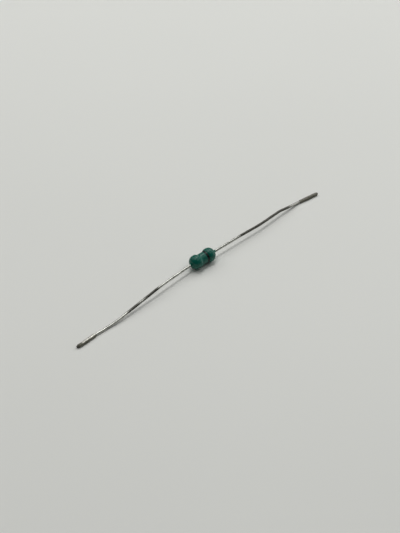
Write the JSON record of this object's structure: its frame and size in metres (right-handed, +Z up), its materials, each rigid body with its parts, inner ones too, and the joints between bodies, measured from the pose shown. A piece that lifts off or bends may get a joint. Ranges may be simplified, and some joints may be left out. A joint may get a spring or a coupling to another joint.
{
  "type": "axial-lead inductor",
  "caption": "Axial-lead inductor: a coated dog-bone body with a wound ferrite drum inside and a stiff tinned wire lead out of each end, lying on its end bulges and lead ends.",
  "frame": {"origin": "on the surface the part lies on, in the middle of its outline seen from above, which is under the middle of the coated body to within 0.3 mm", "axes": "+X along the body's axis towards the right lead, which leaves beside the black band; +Z up; +Y to the side away from the left lead's end"},
  "size_m": [0.0618, 0.0032, 0.0027],
  "materials": {
    "ferrite": "matt, fired",
    "enamelled_copper": "enamelled",
    "tinned_wire": "tinned, dulled and lightly scratched",
    "adhesive": "clear amber glue",
    "solder": "bright solder",
    "green_epoxy": "satin dipped coat, teal-green",
    "black_ink": "satin ink"
  },
  "bodies": {
    "root": {"ferrite_core": "ferrite", "copper_winding": "enamelled_copper", "left_lead": "tinned_wire", "right_lead": "tinned_wire", "left_socket_adhesive": "adhesive", "right_socket_adhesive": "adhesive", "left_solder_joint": "solder", "right_solder_joint": "solder", "epoxy_coating": "green_epoxy", "black_band": "black_ink"}
  },
  "joints": []
}
